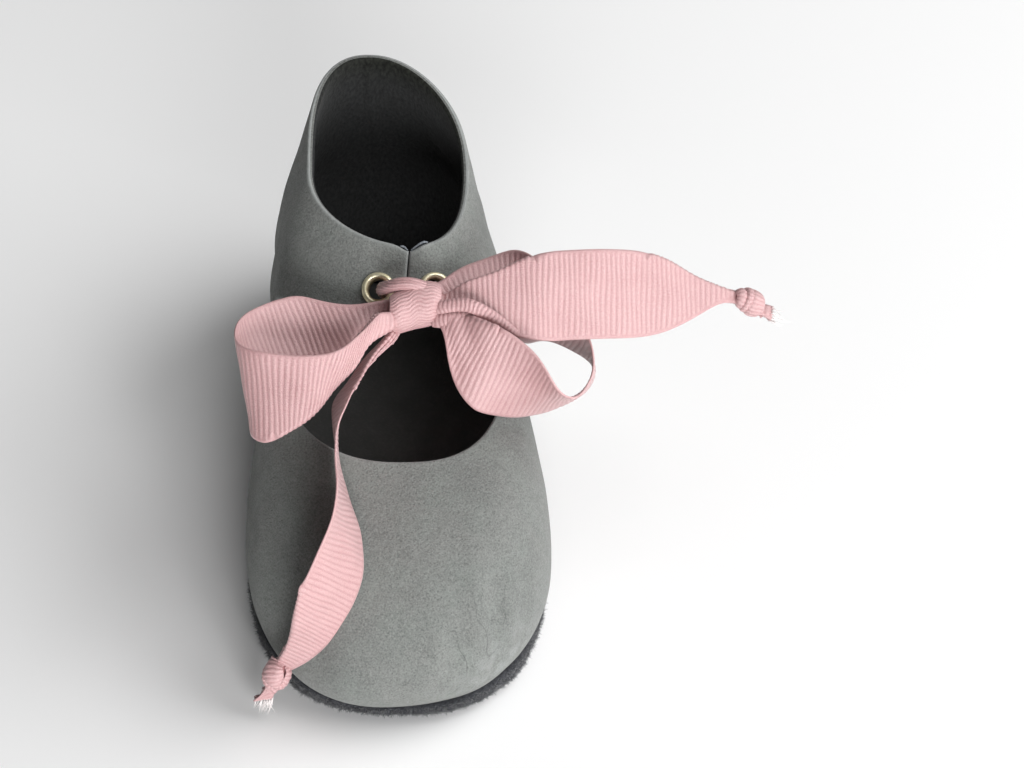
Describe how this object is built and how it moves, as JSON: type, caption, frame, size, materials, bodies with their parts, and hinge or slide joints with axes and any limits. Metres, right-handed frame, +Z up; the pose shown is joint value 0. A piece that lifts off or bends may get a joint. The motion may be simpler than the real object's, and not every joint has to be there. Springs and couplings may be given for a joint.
{
  "type": "bootie",
  "caption": "Soft-soled leather baby bootie, open at collar and throat, its strap tied with a knotted ribbon bow through metal eyelets. It stands on its flat suede sole.",
  "frame": {"origin": "middle of the shoe's box, without the free ribbon, on the floor plane under the sole", "axes": "+Z up from the sole, +Y from the toe to the heel, +X to the lateral side of the left foot"},
  "size_m": [0.0997, 0.1161, 0.065],
  "materials": {
    "nubuck": "matt grey nubuck",
    "suede": "dark napped suede",
    "insole_leather": "smooth grey leather",
    "brass": "aged brass",
    "grosgrain": "ribbed pink ribbon"
  },
  "bodies": {
    "root": {"upper": "nubuck", "sole": "suede", "insole": "insole_leather", "eyelet_medial": "brass", "eyelet_lateral": "brass", "ribbon_bar": "grosgrain", "ribbon_knot": "grosgrain", "ribbon_loop_medial": "grosgrain", "ribbon_loop_lateral": "grosgrain", "ribbon_tail_medial": "grosgrain", "ribbon_tail_lateral": "grosgrain", "ribbon_end_knot_medial": "grosgrain", "ribbon_end_knot_lateral": "grosgrain"}
  },
  "joints": []
}
